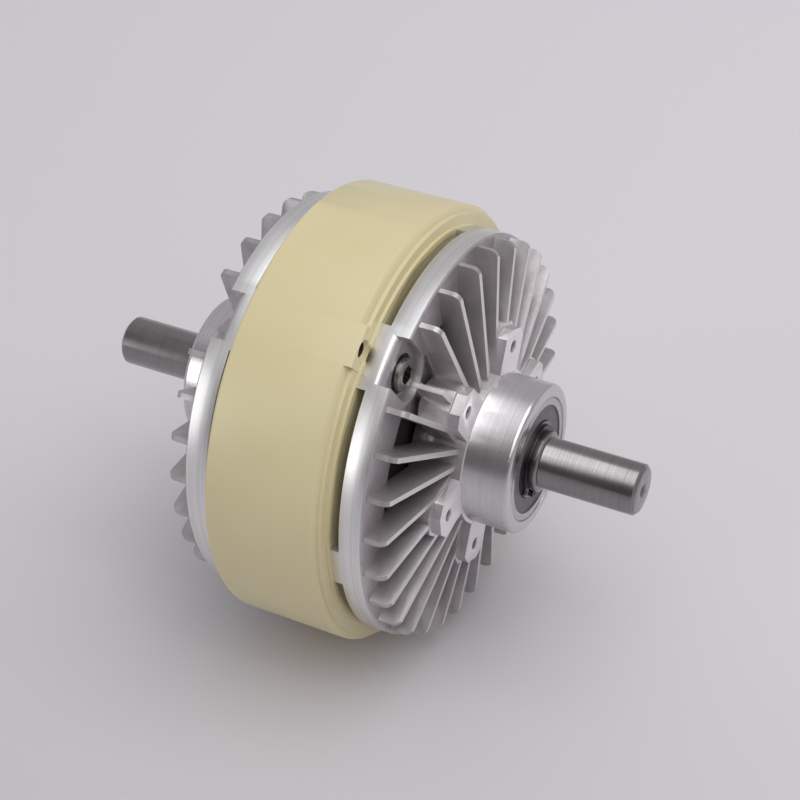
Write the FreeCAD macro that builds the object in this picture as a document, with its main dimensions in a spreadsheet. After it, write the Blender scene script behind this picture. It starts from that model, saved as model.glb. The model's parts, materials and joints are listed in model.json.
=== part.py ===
import FreeCAD, Part
import math
import os
import re
import Sketcher

# Magnetic powder brake with two shaft ends: a ring-shaped yoke between two finned covers.
# The shaft axis is X, +Z is up, and the origin is the centre of the yoke on the shaft axis.
# Each sub-part of one side is drawn on the +X side, and the other side holds it turned round.
# An outline lists its corners as (place along X, radius), and a third entry makes the edge
# that starts there an arc of that radius, positive when the arc turns anticlockwise.

SIZES = {
    # How far a cut runs past the face it leaves by, and how deep a cast form's root is sunk
    "cut_past": 1.0,
    "root_depth": 1.0,
    # Yoke, coil and the register that centres the covers
    "yoke_radius": 109.5,
    "yoke_half_width": 30.0,
    "yoke_bore": 74.0,
    "yoke_wall": 13.5,
    "pole_wall": 15.0,
    "yoke_edge_round": 2.0,
    "shoulder_length": 5.5,
    "shoulder_drop": 3.5,
    "shoulder_round": 6.0,
    "groove_depth": 1.5,
    "groove_floor": 2.0,
    "seat_drop": 8.5,
    "register_drop": 20.0,
    "register_height": 1.5,
    "cheek_step": 1.0,
    "spacer_wall": 5.0,
    "coil_clearance": 0.5,
    "coil_side_gap": 0.5,
    "coil_edge": 2.0,
    "yoke_boss_angle": 10.6,
    "yoke_boss_set_back": 1.2,
    "yoke_boss_length": 9.0,
    "yoke_boss_height": 12.5,
    "yoke_hole_drop": 5.5,
    "yoke_hole_radius": 3.4,
    "yoke_hole_depth": 18.0,
    "yoke_hole_mouth": 5.0,
    "lead_seat_depth": 2.0,
    "lead_seat_radius": 9.5,
    "lead_hole_radius": 6.0,
    "grommet_wall": 1.5,
    "grommet_lip": 2.5,
    "grommet_lip_height": 1.6,
    "grommet_round": 1.0,
    "grommet_set_back": 1.0,
    # Covers
    "rim_drop": 9.3,
    "rim_gap": 4.6,
    "rim_width": 11.4,
    "rim_wall": 16.2,
    "rim_edge": 0.8,
    "web_thickness": 6.0,
    "window_margin": 21.7,
    "window_hub_gap": 4.4,
    "window_side": 12.0,
    "dish_depth": 3.5,
    "dish_start": 2.0,
    "dish_angle": 8.0,
    "lug_angle": 12.0,
    "wide_lug_angle": 18.0,
    "lug_clearance": 0.1,
    "hub_length": 42.0,
    "hub_wall": 6.0,
    "hub_round": 2.5,
    "hub_step": 1.6,
    "hub_fillet": 3.0,
    "hub_sink": 3.0,
    "pad_height": 19.0,
    "pad_count": 6,
    "pad_half_width": 10.5,
    "pad_side": 4.5,
    "pad_reach": 8.8,
    "pad_tip_half_width": 5.0,
    "pad_foot_drop": 5.0,
    "pad_foot_edge": 2.0,
    "pad_hole_gap": 13.0,
    "pad_hole_radius": 2.5,
    "pad_hole_depth": 15.0,
    "pad_hole_mouth": 3.3,
    "fin_count": 30,
    "fin_thickness": 2.6,
    "fin_set_in": 1.6,
    "fin_tip_height": 10.8,
    "fin_hub_height": 16.2,
    "fin_corner": 4.5,
    "cover_turn": 7.7,
    "bolt_turn": 120.0,
    "drum_clearance": 0.5,
    # Bolts that hold the covers to the yoke
    "bolt_count": 2,
    "bolt_set_in": 3.1,
    "bolt_radius": 5.0,
    "bolt_clearance": 0.5,
    "thread_clearance": 0.05,
    "thread_run_out": 1.0,
    "bolt_head_radius": 8.0,
    "bolt_head_height": 10.0,
    "bolt_socket": 8.0,
    "bolt_socket_depth": 5.0,
    "bolt_grip": 12.0,
    "bolt_sink": 12.0,
    "counterbore_gap": 1.5,
    "recess_depth": 5.0,
    "recess_radius": 12.0,
    "recess_lip": 4.0,
    "recess_lip_angle": 13.6,
    "bolt_boss_radius": 13.5,
    # Main bearings, one in each cover hub, and the plate bearing
    "bearing_bore": 15.0,
    "bearing_radius": 31.0,
    "bearing_width": 16.0,
    "bearing_set_back": 0.4,
    "bearing_edge": 0.8,
    "ball_radius": 4.76,
    "ball_bite": 0.76,
    "ball_play": 0.06,
    "ball_count": 9,
    "shield_thickness": 0.8,
    "shield_set_back": 0.7,
    "shield_gap": 0.4,
    "cage_side_gap": 0.9,
    "cage_wall": 0.9,
    "cage_pocket_play": 0.15,
    "bearing_shoulder": 3.5,
    # Shafts
    "shaft_length": 48.0,
    "shaft_radius": 12.5,
    "shaft_chamfer": 1.5,
    "shaft_step_reach": 5.0,
    "shaft_step_chamfer": 0.8,
    "collar_flare": 3.0,
    "centre_radius": 2.5,
    "centre_depth": 6.0,
    "centre_mouth": 3.6,
    "key_width": 8.0,
    "key_depth": 4.0,
    "key_length": 36.0,
    "key_end_gap": 4.0,
    "key_turn": 292.0,
    "clip_thickness": 1.5,
    "clip_height": 2.4,
    "clip_groove_depth": 1.0,
    "clip_play": 0.1,
    "clip_gap_angle": 34.0,
    "clip_turn": 232.0,
    "clip_ear_turn": 4.0,
    "clip_ear_sink": 0.6,
    "clip_ear_radius": 2.3,
    "clip_ear_hole": 0.9,
    # Drum, which the left shaft carries
    "drum_wall": 11.9,
    "band_half_width": 7.0,
    "plate_thickness": 8.0,
    "plate_screw_count": 6,
    "plate_drop": 2.2,
    "plate_edge": 1.0,
    "plate_screw_set_in": 7.5,
    "screw_radius": 2.5,
    "screw_clearance": 0.25,
    "screw_head_radius": 4.25,
    "screw_head_height": 5.0,
    "screw_head_edge": 0.6,
    "screw_point": 1.0,
    "screw_grip": 10.0,
    "screw_socket": 4.0,
    "screw_socket_depth": 2.5,
    "flange_radius": 40.0,
    "flange_thickness": 4.0,
    "flange_screw_count": 4,
    "flange_screw_radius": 2.5,
    "flange_screw_head": 4.6,
    "cup_wall": 6.0,
    "cup_set_back": 8.0,
    "plate_boss_wall": 7.0,
    "powder_thickness": 0.9,
    # Pilot bearing, between the two shafts
    "pilot_radius": 21.0,
    "pilot_bore": 10.0,
    "pilot_width": 12.0,
    "pilot_wall": 3.1,
    "pilot_play": 0.08,
    "pilot_set_in": 1.0,
    "pilot_shoulder": 2.5,
    "pilot_nose": 1.0,
    "roller_count": 12,
    "roller_end_gap": 1.5,
    "pilot_relief": 14.0,
    "pilot_relief_depth": 2.5,
    # Rotor, which the right shaft carries
    "rotor_gap": 1.4,
    "rotor_side_gap": 4.0,
    "rotor_wall": 10.2,
    "rotor_hub_wall": 12.0,
    "rotor_hub_set_back": 4.0,
    "rotor_web_half": 8.0,
    "rotor_seat_step": 5.0,
    "rotor_seat_end_gap": 1.0,
    "rotor_collar_height": 3.0,
    "rotor_collar_width": 2.0,
    "rotor_key_width": 12.0,
    "rotor_key_height": 8.0,
    "rotor_key_depth": 5.0,
    "rotor_key_end_gap": 2.0,
    "rotor_key_play": 0.2,
    "rotor_clip_height": 4.0,
    "rotor_clip_groove_depth": 1.3,
    "rotor_clip_thickness": 1.75,
}

# Radii and places along X that follow from the sizes
PLACES = {
    # Yoke and coil
    "cavity_radius": "yoke_radius - yoke_wall",
    "cavity_half_width": "yoke_half_width - pole_wall",
    "seat_radius": "yoke_radius - seat_drop",
    "register_radius": "yoke_radius - register_drop",
    "register_face": "yoke_half_width + register_height",
    "yoke_hole_place": "yoke_radius - yoke_hole_drop",
    "lead_seat": "yoke_radius - lead_seat_depth",
    "coil_inner": "yoke_bore + spacer_wall",
    "coil_outer": "cavity_radius - coil_clearance",
    # Covers and their bolts
    "rim_radius": "yoke_radius - rim_drop",
    "rim_inner": "rim_radius - rim_wall",
    "rim_back": "yoke_half_width + rim_gap",
    "rim_face": "rim_back + rim_width",
    "web_back": "rim_face - web_thickness",
    "window_outer": "rim_radius - window_margin",
    "window_inner": "cast_hub_radius + window_hub_gap",
    "hub_radius": "bearing_radius + hub_wall",
    "hub_root": "hub_radius - hub_sink",
    "hub_front": "rim_face + hub_length",
    "hub_shoulder_bore": "bearing_radius - bearing_shoulder",
    "cast_hub_radius": "hub_radius + hub_step",
    "pad_face": "rim_face + pad_height",
    "pad_hole_place": "hub_radius + pad_hole_gap",
    "pad_shoulder": "pad_hole_place + pad_side",
    "pad_tip": "pad_hole_place + pad_reach",
    "fin_tip": "rim_radius - fin_set_in",
    "bolt_line": "cover_turn + bolt_turn",
    "bolt_place": "(yoke_bore + rim_radius) / 2 - bolt_set_in",
    "bolt_seat": "rim_face - bolt_sink",
    "recess_floor": "rim_face - recess_depth",
    # Main bearings
    "bearing_out": "hub_front - bearing_set_back",
    "bearing_in": "bearing_out - bearing_width",
    "bearing_mid": "bearing_out - bearing_width / 2",
    "ball_pitch": "(bearing_bore + bearing_radius) / 2",
    "ball_groove": "ball_radius + ball_play",
    "race_rise": "ball_radius - ball_bite",
    "race_inner": "ball_pitch - race_rise",
    "race_outer": "ball_pitch + race_rise",
    "cage_half_width": "bearing_width / 2 - shield_set_back - shield_thickness - cage_side_gap",
    # Shafts
    "shaft_step": "hub_front + shaft_step_reach",
    "shaft_end": "shaft_step + shaft_length",
    "key_end": "shaft_end - key_end_gap",
    "clip_groove": "bearing_bore - clip_groove_depth",
    "clip_groove_end": "bearing_out + clip_thickness + clip_play",
    "clip_radius": "bearing_bore + clip_height",
    "cup_radius": "pilot_radius + cup_wall",
    "cup_end": "drum_half_width - cup_set_back",
    "cup_floor": "cup_end + pilot_set_in + pilot_width",
    "flange_screw_place": "(flange_radius + cup_radius) / 2",
    # Drum
    "drum_radius": "yoke_bore - drum_clearance",
    "drum_bore": "drum_radius - drum_wall",
    "drum_half_width": "yoke_half_width",
    "plate_face": "drum_half_width + plate_thickness",
    "plate_radius": "drum_radius - plate_drop",
    "plate_screw_place": "drum_radius - plate_screw_set_in",
    "plate_boss_radius": "bearing_radius + plate_boss_wall",
    "plate_bearing_in": "plate_face - bearing_width",
    # Pilot bearing
    "pilot_out": "cup_end + pilot_set_in",
    "pilot_mid": "pilot_out + pilot_width / 2",
    "pilot_in": "pilot_out + pilot_width",
    # Rotor
    "rotor_radius": "drum_bore - rotor_gap",
    "rotor_half_width": "drum_half_width - rotor_side_gap",
    "rotor_rim_inner": "rotor_radius - rotor_wall",
    "rotor_seat": "bearing_bore + rotor_seat_step",
    "rotor_seat_end": "cup_end - rotor_seat_end_gap",
    "rotor_collar": "rotor_seat + rotor_collar_height",
    "rotor_hub_radius": "rotor_seat + rotor_hub_wall",
    "rotor_hub_start": "cup_end - rotor_hub_set_back",
    "rotor_hub_end": "plate_bearing_in - rotor_collar_width",
    "rotor_key_half_length": "rotor_hub_start - rotor_key_end_gap",
    "rotor_key_floor": "rotor_seat - rotor_key_depth",
    "rotor_clip_radius": "rotor_seat + rotor_clip_height",
    "rotor_clip_groove": "rotor_seat - rotor_clip_groove_depth",
    "rotor_clip_end": "rotor_hub_start + rotor_clip_thickness",
}

doc = FreeCAD.newDocument("powder_brake")
sheet = doc.addObject("Spreadsheet::Sheet", "dims")
for row, (alias, size) in enumerate(SIZES.items(), start=1):
    sheet.set(f"A{row}", alias)
    sheet.set(f"B{row}", str(size))
    sheet.setAlias(f"B{row}", alias)
doc.recompute()

X_AXIS = FreeCAD.Vector(1, 0, 0)
Z_AXIS = FreeCAD.Vector(0, 0, 1)
CENTRE = FreeCAD.Vector(0, 0, 0)
sub_parts = []


def cells(text):
    """The expression with each size written as its cell, and each worked-out place as its sum."""
    def written(word):
        name = word.group()
        if name in PLACES:
            return f"({cells(PLACES[name])})"
        return f"dims.{name}" if name in SIZES else name
    return re.sub(r"[a-z_]+", written, text)


def number(text):
    """The expression's value now."""
    return float(sheet.evalExpression(cells(text)))


def turned_about_x(degrees):
    """A turn about the shaft axis."""
    return FreeCAD.Placement(CENTRE, FreeCAD.Rotation(X_AXIS, degrees))


def other_side():
    """Half a turn about the line from the shaft axis through a cover bolt."""
    angle = math.radians(number("bolt_line"))
    line = FreeCAD.Vector(0, math.cos(angle), math.sin(angle))
    return FreeCAD.Placement(CENTRE, FreeCAD.Rotation(line, 180))


RIGHT = FreeCAD.Placement()
LEFT = other_side()
SIDES = {"left": LEFT, "right": RIGHT}


def keep(item, label, placement=RIGHT):
    """Lists a finished sub-part under its name, at its place in the assembly."""
    item.Label = label
    item.Placement = placement
    sub_parts.append(item)
    return item


def new_body(name):
    return doc.addObject("PartDesign::Body", name)


def origin_item(body, role):
    """One of the body's own origin planes or axes."""
    return next(item for item in body.Origin.OriginFeatures if item.Role == role)


def plain_sketch(body, name, role, lift=None, spin=None):
    """An empty sketch on an origin plane, lifted along and spun about its own directions."""
    sketch = body.newObject("Sketcher::SketchObject", name)
    sketch.AttachmentSupport = [(origin_item(body, role), "")]
    sketch.MapMode = "FlatFace"
    spin_axis = X_AXIS if role == "XY_Plane" else Z_AXIS
    sketch.AttachmentOffset = FreeCAD.Placement(CENTRE, FreeCAD.Rotation(spin_axis, number(spin or "0")))
    if spin:
        sketch.setExpression("AttachmentOffset.Rotation.Angle", cells(spin))
    if lift:
        sketch.setExpression("AttachmentOffset.Base.z", cells(lift))
    return sketch


def tie(sketch, kind, references, text):
    """Adds a constraint whose value is the expression."""
    index = sketch.addConstraint(Sketcher.Constraint(kind, *references, number(text)))
    sketch.setExpression(f"Constraints[{index}]", cells(text))


def tie_point(sketch, edge, end, across, up):
    """Holds an edge's end at its place across and up from the sketch's origin."""
    for kind, text, axis in (("DistanceX", across, -2), ("DistanceY", up, -1)):
        if text == "0":
            sketch.addConstraint(Sketcher.Constraint("PointOnObject", edge, end, axis))
        else:
            tie(sketch, kind, (-1, 1, edge, end), text)


def arc_between(start, end, radius):
    """The arc from start to end with its centre on the left for a positive radius."""
    chord = end - start
    side = FreeCAD.Vector(-chord.y, chord.x, 0).normalize() * math.copysign(1, radius)
    centre = (start + end) * 0.5 + side * math.sqrt(radius ** 2 - (chord.Length / 2) ** 2)
    first, last = (start, end) if radius > 0 else (end, start)
    angles = [math.atan2(point.y - centre.y, point.x - centre.x) for point in (first, last)]
    return Part.ArcOfCircle(Part.Circle(centre, Z_AXIS, abs(radius)), *angles)


def outline(body, name, role, corners, lift=None, spin=None):
    """A closed outline of lines and arcs, with each corner tied to the sheet."""
    sketch = plain_sketch(body, name, role, lift, spin)
    places = [FreeCAD.Vector(number(corner[0]), number(corner[1]), 0) for corner in corners]
    starts = []
    ends = []
    for index, corner in enumerate(corners):
        start = places[index]
        end = places[(index + 1) % len(corners)]
        if len(corner) == 3:
            radius = number(corner[2])
            edge = sketch.addGeometry(arc_between(start, end, radius))
            tie(sketch, "Radius", (edge,), corner[2].lstrip("-"))
            start_end, end_end = (1, 2) if radius > 0 else (2, 1)
        else:
            edge = sketch.addGeometry(Part.LineSegment(start, end))
            start_end, end_end = 1, 2
        starts.append((edge, start_end))
        ends.append((edge, end_end))
    for index, corner in enumerate(corners):
        sketch.addConstraint(Sketcher.Constraint("Coincident", *ends[index - 1], *starts[index]))
        tie_point(sketch, *starts[index], corner[0], corner[1])
    return sketch


def circle(body, name, role, across, up, radius, lift=None, spin=None):
    """One circle, with its centre and radius tied to the sheet."""
    sketch = plain_sketch(body, name, role, lift, spin)
    middle = FreeCAD.Vector(number(across), number(up), 0)
    edge = sketch.addGeometry(Part.Circle(middle, Z_AXIS, number(radius)))
    tie(sketch, "Radius", (edge,), radius)
    tie_point(sketch, edge, 3, across, up)
    return sketch


def box_outline(low, high, inner, outer):
    """The corners of a rectangle between two places along X and two radii."""
    return [(low, inner), (high, inner), (high, outer), (low, outer)]


def revolve(body, name, corners, spin=None, angle="360", cut=False):
    """Adds or cuts the outline turned about the shaft axis, all round or over an angle."""
    kind = "PartDesign::Groove" if cut else "PartDesign::Revolution"
    sketch = outline(body, name + "_outline", "XY_Plane", corners, spin=spin)
    feature = body.newObject(kind, name)
    feature.Profile = sketch
    feature.ReferenceAxis = (origin_item(body, "X_Axis"), [""])
    feature.setExpression("Angle", cells(angle))
    body.Tip = feature
    return feature


def extrude(body, name, sketch, length, cut=False, backwards=False, both_ways=False):
    """Adds or cuts the sketch along its normal."""
    kind = "PartDesign::Pocket" if cut else "PartDesign::Pad"
    feature = body.newObject(kind, name)
    feature.Profile = sketch
    feature.setExpression("Length", cells(length))
    feature.Reversed = backwards
    feature.Midplane = both_ways
    body.Tip = feature
    return feature


def around(body, feature, name, count):
    """Repeats a feature evenly about the shaft axis."""
    pattern = body.newObject("PartDesign::PolarPattern", name)
    pattern.Originals = [feature]
    pattern.Axis = (origin_item(body, "X_Axis"), [""])
    pattern.Angle = 360
    pattern.setExpression("Occurrences", cells(count))
    body.Tip = pattern
    return pattern


def turned_part(label, corners, placement=RIGHT):
    """A sub-part that is one outline turned about the shaft axis."""
    body = new_body(label)
    revolve(body, label + "_form", corners)
    return keep(body, label, placement)


def ring(label, low, high, inner, outer, placement=RIGHT):
    return turned_part(label, box_outline(low, high, inner, outer), placement)


def countersunk_hole(body, name, sketch, radius, depth, mouth):
    """A hole with a countersunk mouth and a flat bottom."""
    doc.recompute()
    hole = body.newObject("PartDesign::Hole", name)
    hole.Profile = sketch
    hole.DepthType = "Dimension"
    hole.DrillPoint = "Flat"
    hole.HoleCutType = "Countersink"
    hole.HoleCutCustomValues = True
    hole.HoleCutCountersinkAngle = 90
    hole.setExpression("Diameter", cells(f"2 * ({radius})"))
    hole.setExpression("Depth", cells(depth))
    hole.setExpression("HoleCutDiameter", cells(f"2 * ({mouth})"))
    body.Tip = hole
    return hole


def wall_threads(body, face, backwards):
    """The tapped holes that take the cover bolts, from the register's face inwards."""
    sketch = circle(body, "thread_circle", "YZ_Plane", "bolt_place", "0", "bolt_radius + thread_clearance",
                    face, "bolt_line")
    depth = "bolt_grip + register_height + thread_run_out"
    hole = extrude(body, "thread", sketch, depth, cut=True, backwards=backwards)
    around(body, hole, "threads", "bolt_count")


def yoke_body():
    """The painted outer ring with its left pole wall, shoulder, boss and lead hole."""
    body = new_body("yoke_body")
    floor_place = "yoke_half_width - groove_depth"
    revolve(body, "yoke_form", [
        ("-register_face", "yoke_bore"),
        ("-cavity_half_width", "yoke_bore"),
        ("-cavity_half_width", "cavity_radius"),
        ("cavity_half_width", "cavity_radius"),
        ("cavity_half_width", "cavity_radius + cheek_step"),
        ("yoke_half_width", "cavity_radius + cheek_step"),
        ("yoke_half_width", "seat_radius"),
        (floor_place, "seat_radius"),
        (floor_place, "yoke_radius - shoulder_drop"),
        ("yoke_half_width - groove_depth - groove_floor", "yoke_radius - shoulder_drop", "shoulder_round"),
        ("yoke_half_width - shoulder_length", "yoke_radius"),
        ("-yoke_half_width + yoke_edge_round", "yoke_radius", "yoke_edge_round"),
        ("-yoke_half_width", "yoke_radius - yoke_edge_round"),
        ("-yoke_half_width", "register_radius"),
        ("-register_face", "register_radius"),
    ])
    boss_face = "yoke_half_width - yoke_boss_set_back"
    boss_inner = "yoke_radius - yoke_boss_height"
    boss = box_outline(boss_face + " - yoke_boss_length", boss_face, boss_inner, "yoke_radius")
    revolve(body, "yoke_boss", boss, "bolt_line - yoke_boss_angle / 2", "yoke_boss_angle")
    spot = circle(body, "yoke_spot_circle", "YZ_Plane", "yoke_hole_place", "0", "yoke_hole_mouth",
                  boss_face, "bolt_line")
    extrude(body, "yoke_spot", spot, "yoke_boss_set_back + register_height", cut=True, backwards=True)
    mouth = circle(body, "yoke_hole_circle", "YZ_Plane", "yoke_hole_place", "0", "yoke_hole_radius",
                   boss_face, "bolt_line")
    countersunk_hole(body, "yoke_hole", mouth, "yoke_hole_radius", "yoke_hole_depth", "yoke_hole_mouth")
    wall_threads(body, "-register_face", backwards=True)
    lead_flat = circle(body, "lead_seat_circle", "XZ_Plane", "0", "0", "lead_seat_radius", "-lead_seat")
    extrude(body, "lead_seat", lead_flat, "lead_seat_depth + cut_past", cut=True)
    lead = circle(body, "lead_circle", "XZ_Plane", "0", "0", "lead_hole_radius", "-cavity_radius + cut_past")
    extrude(body, "lead_hole", lead, "yoke_wall + 2 * cut_past", cut=True)
    return keep(body, "yoke_body")


def yoke_cheek():
    """The right pole wall, pressed into the yoke's body over the coil."""
    body = new_body("yoke_cheek")
    revolve(body, "cheek_form", [
        ("cavity_half_width", "yoke_bore"),
        ("register_face", "yoke_bore"),
        ("register_face", "register_radius"),
        ("yoke_half_width", "register_radius"),
        ("yoke_half_width", "cavity_radius + cheek_step"),
        ("cavity_half_width", "cavity_radius + cheek_step"),
    ])
    wall_threads(body, "register_face", backwards=False)
    return keep(body, "yoke_cheek")


def lead_grommet():
    """The bush that lines the hole for the coil's leads, with its lip outside."""
    body = new_body("lead_grommet")
    revolve(body, "grommet_form", [
        ("cavity_radius + grommet_set_back", "lead_hole_radius - grommet_wall"),
        ("lead_seat + grommet_lip_height", "lead_hole_radius - grommet_wall"),
        ("lead_seat + grommet_lip_height", "lead_hole_radius + grommet_lip - grommet_round", "grommet_round"),
        ("lead_seat + grommet_lip_height - grommet_round", "lead_hole_radius + grommet_lip"),
        ("lead_seat", "lead_hole_radius + grommet_lip"),
        ("lead_seat", "lead_hole_radius"),
        ("cavity_radius + grommet_set_back", "lead_hole_radius"),
    ])
    return keep(body, "lead_grommet", FreeCAD.Placement(CENTRE, FreeCAD.Rotation(Z_AXIS, 90)))


def cover(side):
    """A cast cover: rim with lugs, open web, hub, flange pads and radial cooling fins."""
    body = new_body(f"{side}_cover")
    revolve(body, "cover_form", [
        ("web_back", "hub_shoulder_bore"),
        ("bearing_in", "hub_shoulder_bore"),
        ("bearing_in", "bearing_radius"),
        ("hub_front", "bearing_radius"),
        ("hub_front", "hub_radius - hub_round", "hub_round"),
        ("hub_front - hub_round", "hub_radius"),
        ("pad_face", "hub_radius"),
        ("pad_face", "cast_hub_radius"),
        ("rim_face + hub_fillet", "cast_hub_radius", "-hub_fillet"),
        ("rim_face", "cast_hub_radius + hub_fillet"),
        ("rim_face", "rim_radius - rim_edge"),
        ("rim_face - rim_edge", "rim_radius"),
        ("rim_back", "rim_radius"),
        ("rim_back", "rim_inner"),
        ("web_back", "rim_inner"),
    ])
    window = box_outline("web_back - cut_past", "rim_face + cut_past", "window_inner", "window_outer")
    gap = "360 / bolt_count - 2 * window_side"
    cut = revolve(body, "window", window, "bolt_turn + window_side", gap, cut=True)
    around(body, cut, "windows", "bolt_count")
    dish = box_outline("rim_face - dish_depth", "rim_face + cut_past", "window_inner", "window_outer")
    for name, first_edge in (("first_dish", "bolt_turn + dish_start"),
                             ("second_dish", "bolt_turn - dish_start - dish_angle")):
        cut = revolve(body, name, dish, first_edge, "dish_angle", cut=True)
        around(body, cut, name + "es", "bolt_count")
    inner_edge = "register_radius + lug_clearance"
    lug = box_outline("yoke_half_width", "rim_back + root_depth", inner_edge, "rim_radius")
    narrow = revolve(body, "lug", lug, "-lug_angle / 2", "lug_angle")
    around(body, narrow, "lugs", "pad_count")
    wide = revolve(body, "wide_lug", lug, "bolt_turn - wide_lug_angle / 2", "wide_lug_angle")
    around(body, wide, "wide_lugs", "bolt_count")
    boss = circle(body, "bolt_boss_circle", "YZ_Plane", "bolt_place", "0", "bolt_boss_radius",
                  "register_face", "bolt_turn")
    raised = extrude(body, "bolt_boss", boss, "rim_face - register_face")
    around(body, raised, "bolt_bosses", "bolt_count")
    drum_room = box_outline("yoke_half_width", "web_back", "hub_shoulder_bore", "yoke_bore")
    revolve(body, "drum_room", drum_room, cut=True)
    for name, edge, height in (("pad", "0", "pad_height"),
                               ("foot", "pad_foot_edge", "pad_height - pad_foot_drop")):
        shape = outline(body, name + "_outline", "YZ_Plane", [
            ("hub_root", f"-pad_half_width - {edge}"),
            ("pad_shoulder", f"-pad_half_width - {edge}"),
            (f"pad_tip + {edge}", "-pad_tip_half_width"),
            (f"pad_tip + {edge}", "pad_tip_half_width"),
            ("pad_shoulder", f"pad_half_width + {edge}"),
            ("hub_root", f"pad_half_width + {edge}"),
        ], lift="rim_face - root_depth")
        pad = extrude(body, name, shape, f"{height} + root_depth")
        around(body, pad, name + "_copies", "pad_count")
    root = "rim_face - root_depth"
    tip_height = "rim_face + fin_tip_height"
    hub_side = "rim_face + fin_hub_height"
    fin_shape = outline(body, "fin_outline", "XY_Plane", [
        (root, "hub_root"),
        (hub_side, "hub_root"),
        (tip_height, "fin_tip - fin_corner", "fin_corner"),
        (tip_height + " - fin_corner", "fin_tip"),
        (root, "fin_tip"),
    ])
    fin = extrude(body, "fin", fin_shape, "fin_thickness", both_ways=True)
    around(body, fin, "fins", "fin_count")
    recess_end = circle(body, "recess_circle", "YZ_Plane", "bolt_place", "0", "recess_radius",
                        "recess_floor", "bolt_turn")
    recess_mouth = outline(body, "recess_outline", "YZ_Plane", [
        ("bolt_place", "-recess_radius"),
        ("rim_radius + cut_past", "-recess_radius"),
        ("rim_radius + cut_past", "recess_radius"),
        ("bolt_place", "recess_radius"),
    ], "recess_floor", "bolt_turn")
    counterbore = circle(body, "counterbore_circle", "YZ_Plane", "bolt_place", "0",
                         "bolt_head_radius + counterbore_gap", "bolt_seat", "bolt_turn")
    passage = circle(body, "passage_circle", "YZ_Plane", "bolt_place", "0", "bolt_radius + bolt_clearance",
                     "yoke_half_width", "bolt_turn")
    for name, sketch in (("recess", recess_end), ("recess_way", recess_mouth),
                         ("counterbore", counterbore), ("passage", passage)):
        cut = extrude(body, name, sketch, "pad_face - yoke_half_width", cut=True, backwards=True)
        around(body, cut, name + "s", "bolt_count")
    lip = revolve(body, "recess_lip", [
        ("recess_floor", "rim_radius - recess_lip", "recess_lip"),
        ("recess_floor - recess_lip", "rim_radius"),
        ("recess_floor - recess_lip", "rim_radius + cut_past"),
        ("recess_floor + cut_past", "rim_radius + cut_past"),
        ("recess_floor + cut_past", "rim_radius - recess_lip"),
    ], "bolt_turn - recess_lip_angle / 2", "recess_lip_angle", cut=True)
    around(body, lip, "recess_lips", "bolt_count")
    mouth = circle(body, "pad_hole_circle", "YZ_Plane", "pad_hole_place", "0", "pad_hole_radius", "pad_face")
    hole = countersunk_hole(body, "pad_hole", mouth, "pad_hole_radius", "pad_hole_depth", "pad_hole_mouth")
    around(body, hole, "pad_holes", "pad_count")
    turn = turned_about_x(number("cover_turn"))
    return keep(body, f"{side}_cover", SIDES[side].multiply(turn))


def screw(name, radius, length, head_radius, head_height, socket, socket_depth):
    """A socket head cap screw along X, with the underside of its head at the origin."""
    body = new_body(name)
    revolve(body, name + "_form", [
        (f"-{length}", "0"),
        (head_height, "0"),
        (head_height, f"{head_radius} - screw_head_edge"),
        (f"{head_height} - screw_head_edge", head_radius),
        ("0", head_radius),
        ("0", radius),
        (f"-{length} + screw_point", radius),
        (f"-{length}", f"{radius} - screw_point"),
    ])
    half = f"{socket} / 2"
    point = f"{socket} / sqrt(3)"
    hexagon = outline(body, name + "_socket_outline", "YZ_Plane", [
        (point, "0"), (f"{point} / 2", half), (f"-{point} / 2", half),
        (f"-{point}", "0"), (f"-{point} / 2", f"-{half}"), (f"{point} / 2", f"-{half}"),
    ], lift=head_height)
    extrude(body, name + "_socket", hexagon, socket_depth, cut=True)
    return body


def placed_round(items, place, radius, first, count):
    """Sets copies of a piece evenly about the shaft axis, at a place along X and a radius."""
    for index, item in enumerate(items):
        turn = FreeCAD.Rotation(X_AXIS, first + 360 * index / count)
        item.Placement = FreeCAD.Placement(turn.multVec(FreeCAD.Vector(place, radius, 0)), turn)


def group(label, make, place, radius, first, count, placement=RIGHT):
    """One sub-part of equal loose pieces, spread evenly about the shaft axis."""
    pieces = [make(f"{label}_{index + 1}") for index in range(count)]
    placed_round(pieces, number(place), number(radius), first, count)
    bundle = doc.addObject("Part::Compound", label)
    bundle.Links = pieces
    return keep(bundle, label, placement)


def cover_bolt(name):
    return screw(name, "bolt_radius", "(bolt_seat - yoke_half_width + bolt_grip)", "bolt_head_radius",
                 "bolt_head_height", "bolt_socket", "bolt_socket_depth")


def coil_parts():
    """The winding and the non-magnetic ring that it sits on."""
    ring("coil_spacer_ring", "-cavity_half_width", "cavity_half_width", "yoke_bore", "coil_inner")
    side = "(cavity_half_width - coil_side_gap)"
    turned_part("field_coil", [
        (f"-{side}", "coil_inner"),
        (side, "coil_inner"),
        (side, "coil_outer - coil_edge"),
        (f"{side} - coil_edge", "coil_outer"),
        (f"-{side} + coil_edge", "coil_outer"),
        (f"-{side}", "coil_outer - coil_edge"),
    ])


def bearing_ring(label, seat, race, placement):
    """One ring of a ball bearing: its seat, its rounded edges and its ball groove."""
    reach = "sqrt(ball_groove ^ 2 - race_rise ^ 2)"
    sign, bulge = ("-", "-") if seat == "bearing_radius" else ("+", "")
    edge = f"{seat} {sign} bearing_edge"
    return turned_part(label, [
        ("bearing_in + bearing_edge", seat),
        ("bearing_in", edge),
        ("bearing_in", race),
        (f"bearing_mid - {reach}", race, bulge + "ball_groove"),
        (f"bearing_mid + {reach}", race),
        ("bearing_out", race),
        ("bearing_out", edge),
        ("bearing_out - bearing_edge", seat),
    ], placement)


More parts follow.
